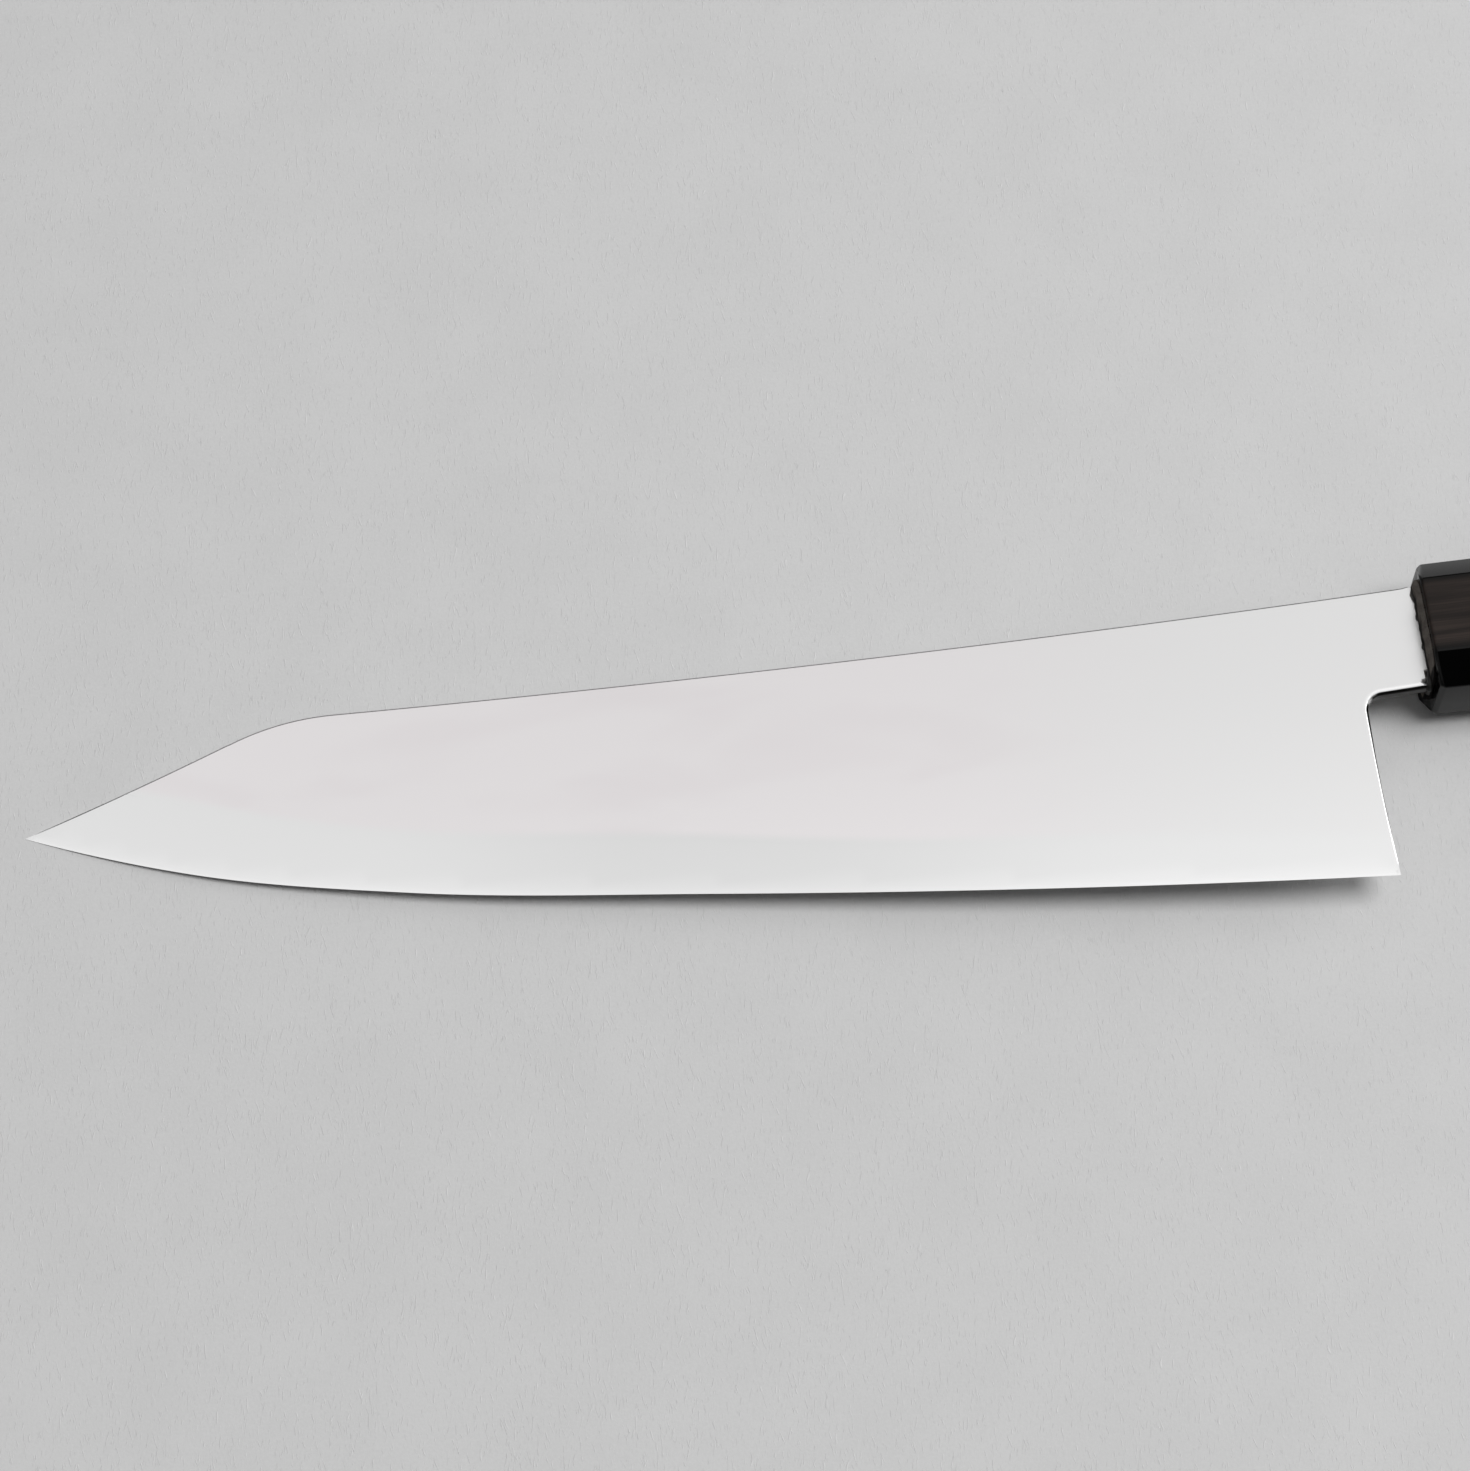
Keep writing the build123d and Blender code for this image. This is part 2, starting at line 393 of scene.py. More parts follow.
tip = Vector((-tip_reach, -tip_drop))
heel = Vector((-heel_reach, -heel_drop))
choil_top = Vector((-heel_reach - choil_lean, -neck_drop - neck_flare))
neck_low = Vector((0, -neck_drop))
neck_high = Vector((0, spine_rise))
corner = Vector((-tip_reach + point_run, corner_rise))
edge_swings = [(1 - cos(pi * i / edge_steps)) / 2 for i in range(edge_steps + 1)]
edge_stations = [tip.x + (heel.x - tip.x) * swing for swing in edge_swings]
cutting_edge = [Vector((x, float(edge_height(x)))) for x in edge_stations]
choil = bow(heel, choil_top, choil_hollow, border_steps["choil"])
neck_underside = bow(choil_top, neck_low, 0, border_steps["neck"])
spine = bow(neck_high, corner, spine_hollow, border_steps["spine"])
point_line = bow(corner, tip, point_hollow, border_steps["point"])
lower_border = round_corner(choil, neck_underside, neck_radius, border_steps["neck_corner"])
upper_border = round_corner(spine, point_line, corner_radius, border_steps["point_corner"])
tang_low = [Vector((0, -tang_half_front)), Vector((tang_length, -tang_half_end))]
tang_high = [Vector((tang_length, tang_half_end)), Vector((0, tang_half_front))]


def border_distance(places, border):
    """Distance of each place from one stretch of the eased border."""
    start = numpy.array(border[:-1])
    way = numpy.array(border[1:]) - start
    away = places[:, None, :] - start
    along = numpy.clip((away * way).sum(2) / (way**2).sum(1), 0, 1)
    return numpy.linalg.norm(away - along[:, :, None] * way, axis=2).min(1)


def eased(depth, width, distance):
    """How much an easing of this depth and width takes off, at a distance from the border."""
    return depth * (1 - numpy.minimum(distance / width, 1)) ** 2


def half_thickness(places):
    """Half the thickness of the steel at each place: the wedge, its eased border, and the tang."""
    x, y = places[:, 0], places[:, 1]
    edge = edge_height(x)
    rise = numpy.clip((y - edge - bevel_height) / (wedge_top - edge - bevel_height), 0, 1)
    wedge = bevel_half + (spine_half(x) - bevel_half) * rise * (2 - rise)
    bevel = edge_half_land + (bevel_half - edge_half_land) * numpy.clip((y - edge) / bevel_height, 0, 1)
    wedge = numpy.where(rise > 0, wedge, bevel)
    neck_depth = neck_ease_share * wedge
    neck_width = numpy.maximum(neck_ease_width_share * wedge, neck_ease_least_width)
    off_neck = eased(neck_depth, neck_width, border_distance(places, lower_border))
    spine_depth = numpy.minimum(neck_depth, spine_ease)
    off_spine = eased(spine_depth, spine_ease_width, border_distance(places, upper_border))
    swell = neck_swell * numpy.clip(1 + x / neck_swell_run, 0, 1) ** 2
    tang = (tang_thickness_front + (tang_thickness_end - tang_thickness_front) * x / tang_length) / 2
    return numpy.where(x > shoulder / 2, tang, wedge + swell - numpy.maximum(off_neck, off_spine))


# The face is cut into triangles once, along its border, the rings of its easing, the bevel and the weld
points = []
lines = []


def draw(path, closed=False):
    """Adds a path to the points and lines that the triangles keep to."""
    first = len(points)
    points.extend(path)
    lines.extend((first + i, first + i + 1) for i in range(len(path) - 1))
    if closed:
        lines.append((len(points) - 1, first))


draw(cutting_edge[:-1] + lower_border + tang_low + tang_high + upper_border[:-1], closed=True)
for inset in ease_insets:
    for border in (lower_border, upper_border):
        ring = []
        for before, point, after in zip(border, border[1:], border[2:]):
            way = (after - before).normalized()
            ring.append(point + Vector((-way.y, way.x)) * inset)
        ring_places = numpy.array(ring)
        clear = border_distance(ring_places, lower_border + upper_border) > inset * ease_clear_share
        ring_x, ring_y = ring_places.T
        above = ring_y > edge_height(ring_x) + bevel_height + ease_above_bevel
        run = []
        for point, keep in zip(ring, clear & above):
            if keep:
                run.append(point)
            else:
                draw(run)
                run = []
        draw(run)
past_heel = Vector((heel.x + overrun, heel.y))
draw([point + Vector((0, bevel_height)) for point in cutting_edge[bevel_first_station:] + [past_heel]])
weld_stations = numpy.arange(weld_first_x, heel.x + overrun, weld_step)
draw([Vector(place) for place in zip(weld_stations, weld_line(weld_stations))])
for x in (0, shoulder):
    draw([Vector((x, tang_half_front * share)) for share in tang_row_shares])
for reach in neck_rows:
    draw([Vector((-reach, spine_rise - neck_row_top - i * neck_row_step)) for i in range(neck_row_count)])
row_height = grid * grid_row_share
grid_rows = range(ceil(-heel_drop / row_height), ceil(spine_rise / row_height) + 1)
field = [
    Vector((x + (row % 2) * grid / 2, row * grid * grid_row_share))
    for row in grid_rows
    for x in numpy.arange(*grid_span, grid)
]
field_places = numpy.array(field)
field_edge = edge_height(field_places[:, 0]) + bevel_height
free = (
    (border_distance(field_places, lower_border + upper_border) > grid_clearance)
    & (field_places[:, 1] > field_edge + grid_clearance / 2)
    & (abs(field_places[:, 1] - weld_line(field_places[:, 0])) > grid_clearance / 2)
    & (field_places[:, 0] < -neck_rows[-1] - grid_clearance / 2)
)
points.extend(point for point, is_free in zip(field, free) if is_free)
points.extend(Vector((x, 0)) for x in tang_stations)

flat, _, cells, *_ = delaunay_2d_cdt(points, lines, [], inside_outline, same_place)
plan = numpy.array(flat)
cells = [tuple(cell) for cell in cells]
steel_half = half_thickness(plan)
core_half = numpy.minimum(weld_height_half(plan[:, 0], plan[:, 1]), steel_half)
above_weld = plan[:, 1] - weld_line(numpy.clip(plan[:, 0], weld_first_x, 0))
neck_border = [point for point in lower_border if point.x > neck_shade_start]
neck_shade_share = numpy.clip(neck_shade_full - border_distance(plan, neck_border) / neck_shade_width, 0, 1)
middles = numpy.array([plan[list(cell)].mean(0) for cell in cells])
is_clad = (middles[:, 0] > weld_first_x) & (middles[:, 1] > weld_line(middles[:, 0]))
clad_cells = [cell for cell, clad in zip(cells, is_clad) if clad]
core_cells = [cell for cell, clad in zip(cells, is_clad) if not clad]
weld_points = {i for cell in clad_cells for i in cell} & {i for cell in core_cells for i in cell}
for i in weld_points:
    steel_half[i] = core_half[i]


def steel_layer(name, layer_cells, top, bottom):
    """A closed layer of the blade between two heights above its middle."""
    layer_cells = [cell for cell in layer_cells if any(top[i] - bottom[i] > 0 for i in cell)]
    places = {}
    vertices = []
    kept = []

    def corner_at(i, height):
        key = (i, round(float(height), height_digits))
        if key not in places:
            places[key] = len(vertices)
            vertices.append(handle_front + Vector((plan[i][0], plan[i][1], height)) * mm)
            kept.append(i)
        return places[key]

    faces = []
    sides = {}
    for cell in layer_cells:
        over = [corner_at(i, top[i]) for i in cell]
        under = [corner_at(i, bottom[i]) for i in cell]
        if over != under:
            faces.append(over)
            faces.append(under[::-1])
        for here, there in ((0, 1), (1, 2), (2, 0)):
            sides[cell[here], cell[there]] = (over[here], over[there], under[there], under[here])
    for (a, b), (over_a, over_b, under_b, under_a) in sides.items():
        if (b, a) not in sides:
            wall = list(dict.fromkeys((under_a, under_b, over_b, over_a)))
            if len(wall) > 2:
                faces.append(wall)
    mesh = bpy.data.meshes.new(name)
    mesh.from_pydata(vertices, [], faces)
    mesh.attributes.new("above_weld", "FLOAT", "POINT").data.foreach_set("value", above_weld[kept])
    mesh.attributes.new("neck_painted_shade", "FLOAT", "POINT").data.foreach_set("value", neck_shade_share[kept])
    mesh.shade_smooth()
    mesh.set_sharp_from_angle(angle=sharp_angle)
    for mesh_edge in mesh.edges:
        if all(kept[i] in weld_points for i in mesh_edge.vertices):
            mesh_edge.use_edge_sharp = True
    piece = bpy.data.objects.new(name, mesh)
    bpy.context.scene.collection.objects.link(piece)
    return piece


def polished_steel(name):
    """Steel with fine polishing marks that follow the cutting edge. Its colour is still to be linked."""
    finish, nodes, shader, place = new_finish(name, Metallic=1.0)
    at = nodes.add("ShaderNodeSeparateXYZ", {"Vector": place})
    from_weld = nodes.add("ShaderNodeAttribute", attribute_name="above_weld")["Fac"]
    height = nodes.math("MULTIPLY", from_weld, mm)
    with_edge = nodes.add("ShaderNodeCombineXYZ", {"X": at["X"], "Y": height, "Z": at["Z"]})["Vector"]
    marks = nodes.noise(with_edge, mark_size, Detail=3.0)
    streaks = nodes.noise(with_edge, streak_size, Detail=2.0)
    streak_share = nodes.step(streaks, streak_range, streak_blur)
    blur = nodes.math("ADD", nodes.step(marks, noise_spread, mark_blur), streak_share)
    nodes.tree.links.new(blur, shader["Roughness"])
    nodes.tree.links.new(nodes.bump(marks, mark_depth), shader["Normal"])
    return finish, nodes, shader, at, from_weld


def behind_front(reaches):
    """Places along X, from millimetres behind the handle's front."""
    return [handle_front.x + reach * mm for reach in reaches]


def core_tone_with_sheen(nodes, at):
    """The core's colour with painted sheen: brighter towards the heel and towards the tip, for brighter
    reflections there.
    """
    toward_heel = nodes.step(at["X"], behind_front(heel_sheen_range))
    toward_tip = nodes.step(at["X"], behind_front(tip_sheen_range))
    return nodes.colour(nodes.math("ADD", toward_heel, toward_tip), core_colour, core_painted_sheen)


def with_neck_shade(nodes, tone):
    """Painted shade on the neck's lower side: its colour is darkened there for the shade its steel mirrors.
    """
    surface_reading = nodes.add("ShaderNodeAttribute", attribute_name="neck_painted_shade")["Fac"]
    return nodes.colour(surface_reading, tone, neck_painted_shade)


core_satin, nodes, shader, at, from_weld = polished_steel("core_satin")
nodes.tree.links.new(with_neck_shade(nodes, core_tone_with_sheen(nodes, at)), shader["Base Color"])
core = steel_layer("blade_core", cells, core_half, -core_half)
core.data.materials.append(core_satin)
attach(core, "root")
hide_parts("core_steel")

cladding_satin, nodes, shader, at, from_weld = polished_steel("cladding_satin")
along_blade = nodes.add("ShaderNodeCombineXYZ", {"X": at["X"], "Y": at["Y"]})[0]
clouds = nodes.noise(along_blade, cloud_size, Detail=2.0, Distortion=0.4)
tint = nodes.colour(nodes.step(clouds, cloud_range), cladding_tint, cladding_cloud)
tint = nodes.colour(nodes.step(at["X"], behind_front(tint_range)), cladding_colour, tint)
tint = nodes.colour(nodes.step(from_weld, (0, weld_blend)), core_tone_with_sheen(nodes, at), tint)
nodes.tree.links.new(with_neck_shade(nodes, tint), shader["Base Color"])
for side, top, bottom in (("left", steel_half, core_half), ("right", -core_half, -steel_half)):
    cladding = steel_layer("blade_cladding_" + side, clad_cells, top, bottom)
    cladding.data.materials.append(cladding_satin)
    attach(cladding, "root")
    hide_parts("cladding_" + side)

# Tang dowel
# A core of plain, close grained wood that fills the ferrule and runs on as a dowel into the handle. Its end
# grain shows round the neck, darkened in a ragged band close round the slot, and below the neck its front
# is painted near black as shade.
slot_gap = 0.5
slot_dark_reach = 1.6 * mm
slot_dark_wander = 5 * mm
slot_dark_grain = 2.2 * mm
painted_shade_rise = (-7.4 * mm, -6.8 * mm)
dowel_colours = {
    "early": (0.15, 0.132, 0.117),
    "late": (0.118, 0.103, 0.09),
    "pore": (0.012, 0.009, 0.007),
}
dowel_dark_and_shade = (0.004, 0.003, 0.0025)
dowel_ring_width = 2.6
dowel_ring_centre = handle_front + Vector((0, 14, 9)) * mm
dowel_pore_width = 0.3 * mm
ring_lengthening = 0.06  # the rings change slowly along X
wave_of_rings = pi / 10  # the scale at which the wave texture's rings are one unit wide
ring_wander = {"Distortion": 2.5, "Detail": 3.0, "Detail Scale": 0.5}
wood_fibre_size = (22 * mm, 0.4 * mm, 0.4 * mm)
pore_length = 7 * mm
late_range = (0.6, 1.4)
pore_range = (0.6, 0.7)
wood_relief = 0.03 * mm


def grained_wood(name, colours, ring_width, ring_centre, pore_width, **uniform):
    """Wood grown in rings along X: long grain shows on its sides and end grain on its ends."""
    finish, nodes, shader, place = new_finish(name, **uniform)
    centred = nodes.add("ShaderNodeVectorMath", {0: place, 1: ring_centre}, operation="SUBTRACT")[0]
    in_mm = (ring_lengthening / mm, 1 / mm, 1 / mm)
    drawn_out = nodes.add("ShaderNodeMapping", {"Vector": centred, "Scale": in_mm})[0]
    ring_values = {"Vector": drawn_out, "Scale": wave_of_rings / ring_width} | ring_wander
    rings = nodes.add("ShaderNodeTexWave", ring_values, wave_type="RINGS", rings_direction="X")["Fac"]
    fibres = nodes.noise(place, wood_fibre_size, Detail=3.0)
    pores = nodes.noise(place, (pore_length, pore_width, pore_width), Detail=1.0)
    late = nodes.step(nodes.math("ADD", rings, fibres), late_range)
    pore = nodes.step(pores, pore_range)
    tone = nodes.colour(pore, nodes.colour(late, colours["early"], colours["late"]), colours["pore"])
    nodes.tree.links.new(nodes.bump(nodes.math("SUBTRACT", fibres, pore), wood_relief), shader["Normal"])
    return finish, nodes, shader, place, tone


def from_front_middle(nodes, place):
    """The way to each place from the middle of the handle's front, along X, Y and Z."""
    away = nodes.add("ShaderNodeVectorMath", {0: place, 1: handle_front}, operation="SUBTRACT")[0]
    return nodes.add("ShaderNodeSeparateXYZ", {"Vector": away})


dowel_wood, nodes, shader, place, tone = grained_wood(
    "dowel_wood", dowel_colours, dowel_ring_width, dowel_ring_centre, dowel_pore_width,
    Roughness=0.75, Specular_IOR_Level=0.06)
off = from_front_middle(nodes, place)
squared_gaps = []
for side, tang_half in (("Y", tang_half_front), ("Z", tang_thickness_front / 2)):
    past_slot = nodes.math("SUBTRACT", nodes.math("ABSOLUTE", off[side]), (tang_half + slot_gap) * mm)
    squared_gaps.append(nodes.math("POWER", nodes.math("MAXIMUM", past_slot, 0), 2))
off_slot = nodes.math("SQRT", nodes.math("ADD", *squared_gaps))
# A ragged dark band close round the slot.
slot_dark_noise = nodes.noise(place, (slot_dark_grain,) * 3, Detail=3.0)
wander = nodes.math("MULTIPLY", nodes.math("SUBTRACT", slot_dark_noise, 0.5), slot_dark_wander)
ragged = nodes.math("ADD", off_slot, wander)
# Painted shade: the wood is painted near black below the neck, for the deep shade there.
painted_low_shade = nodes.step(off["Y"], painted_shade_rise, (1, 0))
slot_dark_and_shade = nodes.math("MAXIMUM", nodes.step(ragged, (0, slot_dark_reach), (1, 0)), painted_low_shade)
nodes.tree.links.new(nodes.colour(slot_dark_and_shade, tone, dowel_dark_and_shade), shader["Base Color"])
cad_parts["tang_dowel"].material_slots[0].material = dowel_wood

# Ferrule
# A ring of black horn, sawn, bored, and glued over the wooden core. Its eight flats were ground together
# with the handle's, its edges eased, and the horn polished until its faint brown streaks show.
handle_height = 21.1
handle_width = 18.7
handle_corner = 4.4
handle_taper = tan(radians(0.5))
ferrule_length = (ferrule_high.x - ferrule_low.x) / mm
ferrule_wall = 2
bore_overrun = 2.0
tube_sections = 72
corner_cuts = 1
edge_cuts = 4
bore_cuts = 12
fall_fade = 0.4  # for each millimetre behind the front
horn_black = (0.0012, 0.0012, 0.0012)
horn_brown_and_sheen = (0.034, 0.025, 0.0215)
horn_streak_size = (45 * mm, 1.6 * mm, 1.6 * mm)
horn_streak_range = (0.35, 0.65)
horn_streak_levels = (0.4, 1)
horn_line_size = (16 * mm, 0.28 * mm, 0.28 * mm)
horn_line_range = (0.3, 0.6)
horn_line_levels = (0.7, 1)
horn_line_depth = 0.004 * mm
horn_blur = (0.1, 0.17)
smear_blur = 0.9
middle_band_half = (4 * mm, 6.4 * mm)
front_smear_rise = (7.6 * mm, 9 * mm)
front_smear_depth = (0.02 * mm, 0.5 * mm)


def new_tree(name, inputs):
    """An empty geometry tree with named inputs: its nodes, its inputs and its output."""
    tree = bpy.data.node_groups.new(name, "GeometryNodeTree")
    tree.interface.new_socket("Geometry", in_out="OUTPUT", socket_type="NodeSocketGeometry")
    for label, kind in inputs.items():
        tree.interface.new_socket(label, in_out="INPUT", socket_type="NodeSocket" + kind)
    given = tree.nodes.new("NodeGroupInput").outputs
    return Nodes(tree), given, tree.nodes.new("NodeGroupOutput").inputs[0]


def rectangle(nodes, height, width):
    return nodes.add("GeometryNodeCurvePrimitiveQuadrilateral", {"Width": height, "Height": width})[0]


def rounded(nodes, curve, radius, cuts):
    """A curve with each of its corners cut round, in this many cuts."""
    corners = {"Curve": curve, "Radius": radius, "Count": cuts}
    return nodes.add("GeometryNodeFilletCurve", corners, mode="POLY")[0]


def end_tree(nodes, shape, material, out):
    """Puts a shape of millimetres on the handle's front, gives it its material and ends the tree."""
    scaled = {0: shape, "Translation": handle_front, "Scale": (mm, mm, mm)}
    placed = nodes.add("GeometryNodeTransform", scaled)[0]
    real = nodes.add("GeometryNodeRealizeInstances", {0: placed})[0]
    nodes.tree.links.new(nodes.add("GeometryNodeSetMaterial", {0: real, "Material": material})[0], out)


def grow(name, tree, values):
    """Runs a geometry tree with these inputs and keeps its result as a plain mesh."""
    piece = bpy.data.objects.new(name, bpy.data.meshes.new(name))
    bpy.context.scene.collection.objects.link(piece)
    modifier = piece.modifiers.new(name, "NODES")
    modifier.node_group = tree
    sockets = {item.name: item.identifier for item in tree.interface.items_tree if item.in_out == "INPUT"}
    for label, value in values.items():
        modifier[sockets[label]] = value
    ready = piece.evaluated_get(bpy.context.evaluated_depsgraph_get())
    mesh = bpy.data.meshes.new_from_object(ready)
    piece.modifiers.remove(modifier)
    piece.data = mesh
    mesh.name = name
    mesh.shade_smooth()
    mesh.set_sharp_from_angle(angle=sharp_angle)
    return piece


# One tree makes the ferrule and the handle body: an octagon, swept along X, with round ends and a bore
tube_labels = (
    "Height", "Width", "Corner", "Edge Rounding", "Taper", "Start", "Length", "Front Rounding",
    "Back Rounding", "Front Fall", "Fall Width", "Bore Height", "Bore Width", "Bore Corner", "Bore Start",
    "Bore Length")
tube_inputs = dict.fromkeys(tube_labels, "Float") | {"Material": "Material"}
tube, given, tube_out = new_tree("octagon_tube", tube_inputs)
outline = rectangle(tube, given["Height"], given["Width"])
outline = rounded(tube, outline, given["Corner"], corner_cuts)
outline = rounded(tube, outline, given["Edge Rounding"], edge_cuts)
axis = tube.add("GeometryNodeCurvePrimitiveLine", {"Start": (0, 0, 0), "End": (1, 0, 0)})[0]
axis = tube.add("GeometryNodeResampleCurve", {"Curve": axis, "Count": tube_sections})[0]
swing = tube.math("COSINE", tube.math("MULTIPLY", tube.add("GeometryNodeSplineParameter")["Factor"], pi))
run_share = tube.math("MULTIPLY", tube.math("SUBTRACT", 1.0, swing), 0.5)
run = tube.math("MULTIPLY", run_share, given["Length"])
station = tube.add("ShaderNodeCombineXYZ", {"X": tube.math("ADD", given["Start"], run)})[0]
axis = tube.add("GeometryNodeSetPosition", {"Geometry": axis, "Position": station})[0]
along = tube.add("ShaderNodeSeparateXYZ", {0: tube.add("GeometryNodeInputPosition")[0]})["X"]
off_front = tube.math("SUBTRACT", along, given["Start"])
off_back = tube.math("SUBTRACT", given["Length"], off_front)
inset = 0.0
for rounding, distance in ((given["Front Rounding"], off_front), (given["Back Rounding"], off_back)):
    rest = tube.math("MAXIMUM", tube.math("SUBTRACT", rounding, distance), 0.0)
    rest_square = tube.math("MULTIPLY", rest, rest)
    squares = tube.math("SUBTRACT", tube.math("MULTIPLY", rounding, rounding), rest_square)
    drop = tube.math("SUBTRACT", rounding, tube.math("SQRT", tube.math("MAXIMUM", squares, 0.0)))
    inset = tube.math("ADD", drop, inset)
half_height = tube.math("MULTIPLY", given["Height"], 0.5)
reach = tube.math("ADD", half_height, tube.math("MULTIPLY", along, given["Taper"]))
scale = tube.math("DIVIDE", tube.math("SUBTRACT", reach, inset), half_height)
shell_inputs = {"Curve": axis, "Profile Curve": outline, "Scale": scale, "Fill Caps": True}
shell = tube.add("GeometryNodeCurveToMesh", shell_inputs)[0]
surface_reading = tube.add("ShaderNodeSeparateXYZ", {0: tube.add("GeometryNodeInputPosition")[0]})
fall_start = tube.math("SUBTRACT", half_height, given["Fall Width"])
past = tube.math("SUBTRACT", tube.math("ABSOLUTE", surface_reading["Y"]), fall_start)
fall = tube.math("POWER", tube.math("DIVIDE", tube.math("MAXIMUM", past, 0.0), given["Fall Width"]), 2.0)
skin_depth = tube.math("SUBTRACT", surface_reading["X"], given["Start"])
fade = tube.math("MAXIMUM", tube.math("SUBTRACT", 1.0, tube.math("MULTIPLY", skin_depth, fall_fade)), 0.0)
fall = tube.math("MULTIPLY", tube.math("MULTIPLY", fall, fade), given["Front Fall"])
fallen = tube.add("ShaderNodeCombineXYZ", {"X": fall})[0]
shell = tube.add("GeometryNodeSetPosition", {"Geometry": shell, "Offset": fallen})[0]
bore = rectangle(tube, given["Bore Height"], given["Bore Width"])
bore = rounded(tube, bore, given["Bore Corner"], bore_cuts)
bore_start = tube.add("ShaderNodeCombineXYZ", {"X": given["Bore Start"]})[0]
bore_far = tube.math("ADD", given["Bore Start"], given["Bore Length"])
bore_end = tube.add("ShaderNodeCombineXYZ", {"X": bore_far})[0]
bore_axis = tube.add("GeometryNodeCurvePrimitiveLine", {"Start": bore_start, "End": bore_end})[0]
bore_inputs = {"Curve": bore_axis, "Profile Curve": bore, "Fill Caps": True}
bore = tube.add("GeometryNodeCurveToMesh", bore_inputs)[0]
hollow = tube.add("GeometryNodeMeshBoolean", {0: shell, 1: bore}, operation="DIFFERENCE", solver="EXACT")[0]
end_tree(tube, hollow, given["Material"], tube_out)

horn, nodes, shader, place = new_finish("black_horn", Specular_IOR_Level=0.13)
streaks = nodes.noise(place, horn_streak_size, Detail=3.0, Distortion=0.6)
lines_in_horn = nodes.noise(place, horn_line_size, Detail=2.0)
streak_warmth = nodes.step(streaks, horn_streak_range, horn_streak_levels)
line_warmth = nodes.step(lines_in_horn, horn_line_range, horn_line_levels)
warmth_and_sheen = nodes.math("MULTIPLY", streak_warmth, line_warmth)
off = from_front_middle(nodes, place)
# Partly painted sheen: the brown streaks are kept to a middle band that holds the wide flats. So these flats
# read lighter than the black slanted flats, for the brighter light they mirror.
in_middle_band = nodes.step(nodes.math("ABSOLUTE", off["Y"]), middle_band_half, (1, 0))
warmth_and_sheen = nodes.math("MULTIPLY", warmth_and_sheen, in_middle_band)
beside_neck = nodes.step(off["Y"], front_smear_rise, (1, 0))
on_front = nodes.step(off["X"], front_smear_depth, (1, 0))
smeared = nodes.math("MULTIPLY", beside_neck, on_front)
nodes.tree.links.new(nodes.colour(warmth_and_sheen, horn_black, horn_brown_and_sheen), shader["Base Color"])
polish = nodes.step(lines_in_horn, noise_spread, horn_blur)
blur = nodes.math("MAXIMUM", polish, nodes.math("MULTIPLY", smeared, smear_blur))
nodes.tree.links.new(blur, shader["Roughness"])
nodes.tree.links.new(nodes.bump(lines_in_horn, horn_line_depth), shader["Normal"])
handle_values = {
    "Height": handle_height, "Width": handle_width, "Corner": handle_corner, "Taper": handle_taper}
ferrule_values = {
    "Edge Rounding": 0.6, "Start": 0.0, "Length": ferrule_length, "Front Rounding": 0.5,
    "Back Rounding": 0.12, "Front Fall": 1.2, "Fall Width": 2.0,
    "Bore Height": handle_height - 2 * ferrule_wall, "Bore Width": handle_width - 2 * ferrule_wall,
    "Bore Corner": 4.5, "Bore Start": -bore_overrun, "Bore Length": ferrule_length + 2 * bore_overrun,
    "Material": horn}
ferrule = grow("ferrule_horn", tube.tree, handle_values | ferrule_values)
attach(ferrule, "root")
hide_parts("ferrule")

# Handle body
# Dark, close grained hardwood, planed to eight tapering flats with the ferrule already on it, then oiled
# and burnished. Its blind bore takes the dowel, and its butt shows end grain.
handle_length = (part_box("handle_body")[1].x - ferrule_low.x) / mm
dowel_bore_width = 14.1
dowel_bore_depth = 77.0
handle_ring_width = 2.3
handle_ring_centre = handle_front + Vector((0, 26, 16)) * mm
handle_pore_width = 0.16 * mm
burnish_size = (30 * mm, 3 * mm, 3 * mm)
burnish_blur = (0.3, 0.44)
wood_colours = {
    "early": (0.052, 0.032, 0.021),
    "late": (0.019, 0.0115, 0.0085),
    "pore": (0.005, 0.0035, 0.003),
}
handle_wood, nodes, shader, place, tone = grained_wood(
    "handle_wood", wood_colours, handle_ring_width, handle_ring_centre, handle_pore_width,
    Specular_IOR_Level=0.4)
nodes.tree.links.new(tone, shader["Base Color"])
burnish = nodes.noise(place, burnish_size, Detail=3.0)
nodes.tree.links.new(nodes.step(burnish, noise_spread, burnish_blur), shader["Roughness"])
body_values = {
    "Edge Rounding": 0.8, "Start": ferrule_length, "Length": handle_length - ferrule_length,
    "Front Rounding": 0.12, "Back Rounding": 1.8, "Front Fall": 0.0, "Fall Width": 1.0,
    "Bore Height": dowel_bore_width, "Bore Width": dowel_bore_width, "Bore Corner": dowel_bore_width / 2,
    "Bore Start": ferrule_length - bore_overrun, "Bore Length": dowel_bore_depth + bore_overrun,
    "Material": handle_wood}
body = grow("handle_wood_body", tube.tree, handle_values | body_values)
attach(body, "root")
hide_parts("handle_body")

# Tang resin
# Set adhesive that fills what the tang leaves of its slot in the dowel. It is amber brown and a little
# cloudy, and nothing of it shows while the knife is whole.
resin_brown = (0.05, 0.028, 0.012)
resin_amber = (0.12, 0.08, 0.045)
resin_cloud = 2 * mm
resin_relief = 0.05 * mm
resin, nodes, shader, place = new_finish("set_resin", Roughness=0.3)
cloudy = nodes.noise(place, (resin_cloud,) * 3, Detail=4.0)
resin_colour = nodes.colour(nodes.step(cloudy, noise_spread), resin_brown, resin_amber)
nodes.tree.links.new(resin_colour, shader["Base Color"])
nodes.tree.links.new(nodes.bump(cloudy, resin_relief), shader["Normal"])
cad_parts["tang_resin"].material_slots[0].material = resin

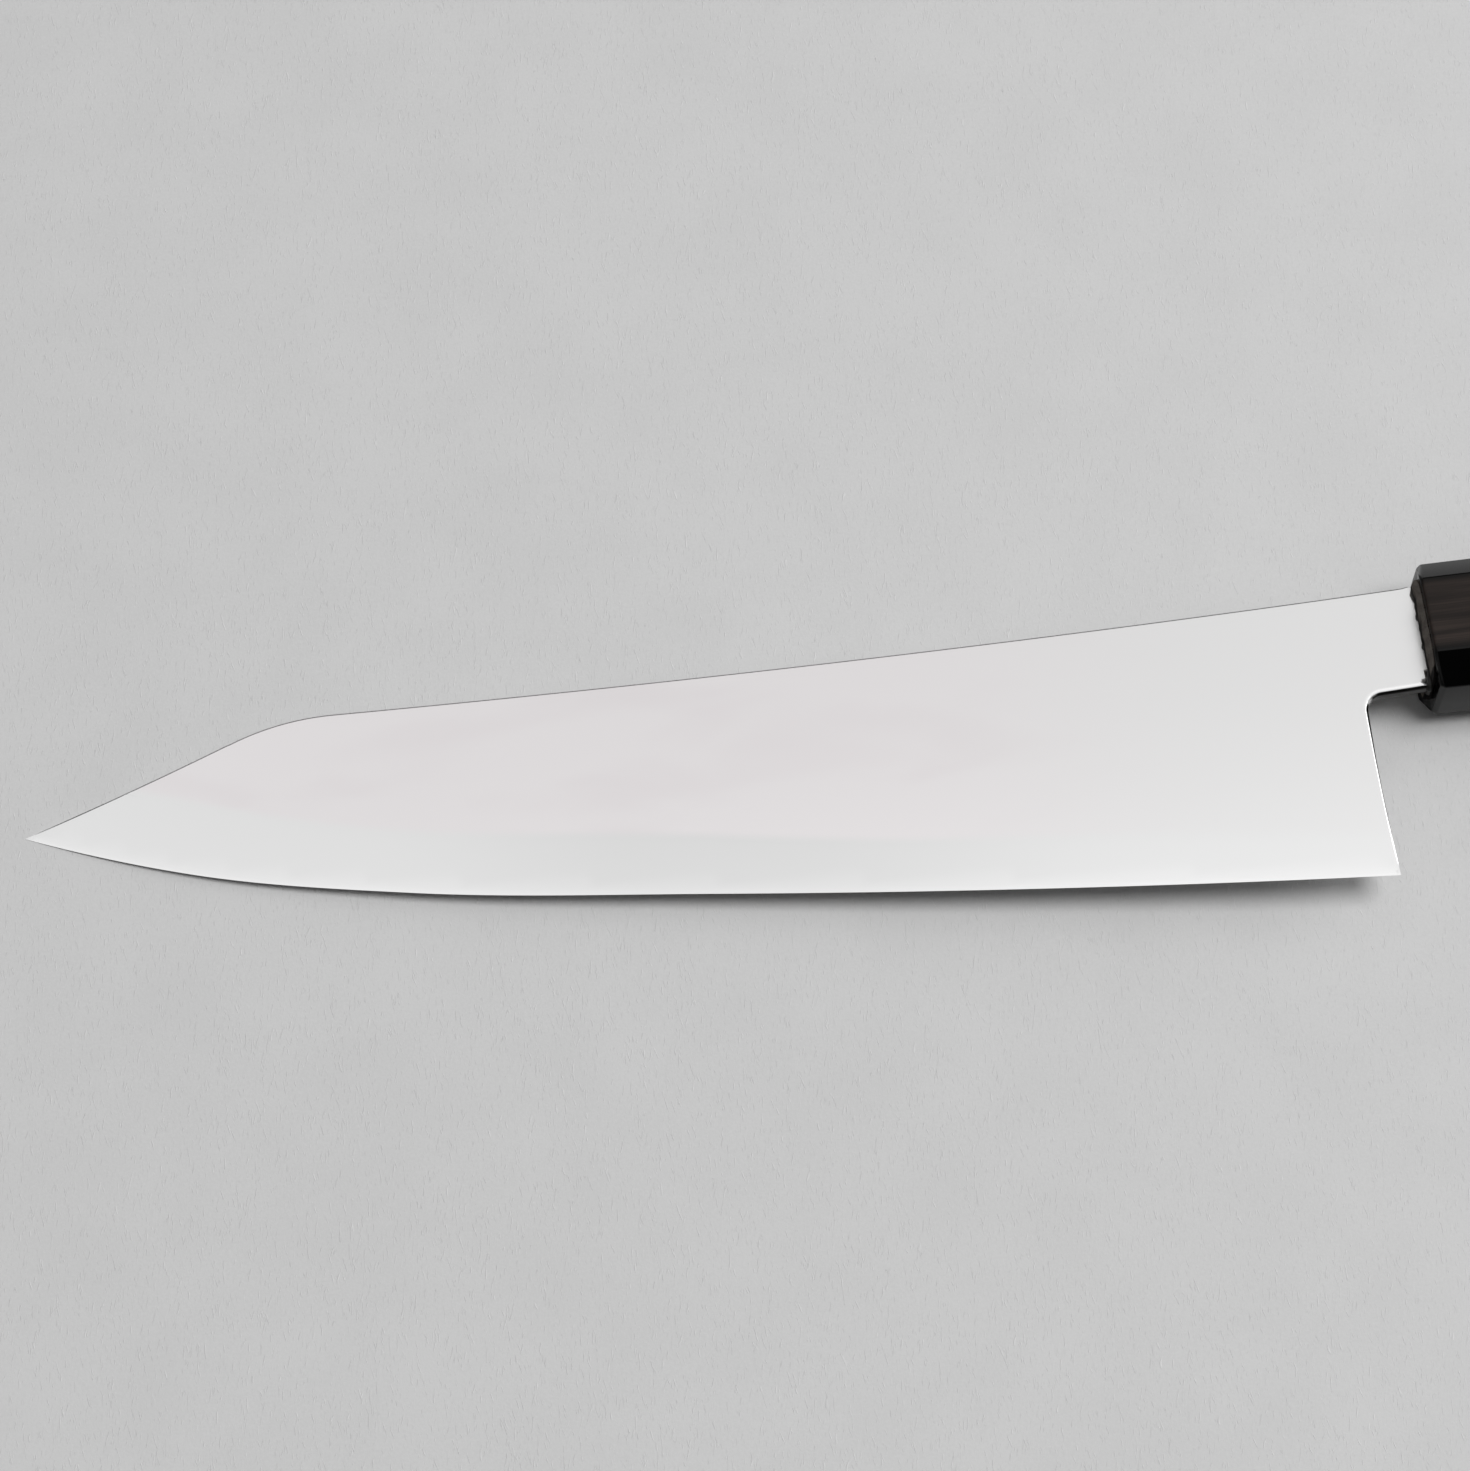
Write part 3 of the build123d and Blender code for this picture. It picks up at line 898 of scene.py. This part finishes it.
# Neck seal
# A thin bead of dark sealing compound, run by hand round the neck where it enters the handle, to keep water
# out of the slot. It is uneven, thicker in a few places and widest at the neck's lower end.
bead_step = 0.16
bead_sides = 14
bead_corner_cuts = 5
waver_scale = 0.8
lump_scale = 0.6
lump_range = (0.5, 0.7)
lump_levels = (0.35, 1)
foot_fade = (0, 2)
seal_black = (0.0045, 0.004, 0.0035)
seal_brown = (0.02, 0.017, 0.014)
seal_grain = 0.5 * mm
seal_tone_range = (0.35, 0.65)
seal_blur = (0.35, 0.65)
seal_relief = 0.03 * mm

# The bead is a rope along the neck's outline, which swells and thins, pressed flat on the handle's front
seal_labels = ("Height", "Thickness", "Corner", "Middle", "Radius", "Waver", "Foot", "Foot Place")
seal_inputs = dict.fromkeys(seal_labels, "Float") | {"Seed": "Float", "Material": "Material"}
bead, given, bead_out = new_tree("sealing_bead", seal_inputs)
neck = rectangle(bead, given["Height"], given["Thickness"])
neck = rounded(bead, neck, given["Corner"], bead_corner_cuts)
neck = bead.add("GeometryNodeResampleCurve", {"Curve": neck, "Length": bead_step}, mode="LENGTH")[0]
middle = bead.add("ShaderNodeCombineXYZ", {"Y": given["Middle"]})[0]
upright = {0: neck, "Rotation": (pi / 2, 0, pi / 2), "Translation": middle}
neck = bead.add("GeometryNodeTransform", upright)[0]
spot = bead.add("GeometryNodeInputPosition")[0]
waves = {"Vector": spot, "W": given["Seed"], "Scale": waver_scale, "Detail": 0.0}
waver = bead.add("ShaderNodeTexNoise", waves, noise_dimensions="4D")
sway = bead.add("ShaderNodeVectorMath", {0: waver["Color"], 1: (0.5, 0.5, 0.5)}, operation="SUBTRACT")[0]
sway = bead.add("ShaderNodeVectorMath", {0: sway, "Scale": given["Waver"]}, operation="SCALE")[0]
neck = bead.add("GeometryNodeSetPosition", {0: neck, "Offset": sway})[0]
swells = waves | {"Scale": lump_scale, "Detail": 1.0}
lumps = bead.add("ShaderNodeTexNoise", swells, noise_dimensions="4D")[0]
thickness = bead.math("MULTIPLY", given["Radius"], bead.step(lumps, lump_range, lump_levels))
place_up = bead.add("ShaderNodeSeparateXYZ", {0: spot})["Y"]
to_foot = bead.math("SUBTRACT", place_up, given["Foot Place"])
foot = bead.math("MULTIPLY", given["Foot"], bead.step(to_foot, foot_fade, (1, 0)))
thickness = bead.math("ADD", thickness, foot)
round_section = {"Resolution": bead_sides, "Radius": 1.0}
ring = bead.add("GeometryNodeCurvePrimitiveCircle", round_section, mode="RADIUS")[0]
rope = bead.add("GeometryNodeCurveToMesh", {"Curve": neck, "Profile Curve": ring, "Scale": thickness})[0]
split = bead.add("ShaderNodeSeparateXYZ", {0: spot})
pressed = {"X": bead.math("MINIMUM", split["X"], 0.0), "Y": split["Y"], "Z": split["Z"]}
pressed_flat = bead.add("ShaderNodeCombineXYZ", pressed)[0]
rope = bead.add("GeometryNodeSetPosition", {0: rope, "Position": pressed_flat})[0]
end_tree(bead, rope, given["Material"], bead_out)

compound, nodes, shader, place = new_finish("seal_compound", Specular_IOR_Level=0.3)
rough = nodes.noise(place, (seal_grain,) * 3, Detail=4.0)
seal_colour = nodes.colour(nodes.step(rough, seal_tone_range), seal_black, seal_brown)
nodes.tree.links.new(seal_colour, shader["Base Color"])
nodes.tree.links.new(nodes.step(rough, noise_spread, seal_blur), shader["Roughness"])
nodes.tree.links.new(nodes.bump(rough, seal_relief), shader["Normal"])
seal = grow("neck_bead", bead.tree, {
    "Height": spine_rise + neck_drop, "Thickness": spine_thickness_heel + 2 * neck_swell, "Corner": 0.7,
    "Middle": (spine_rise - neck_drop) / 2, "Radius": 0.38, "Waver": 0.1, "Seed": 8.0,
    "Foot": 0.34, "Foot Place": 0.6 - neck_drop, "Material": compound})
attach(seal, "root")
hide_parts("neck_seal")
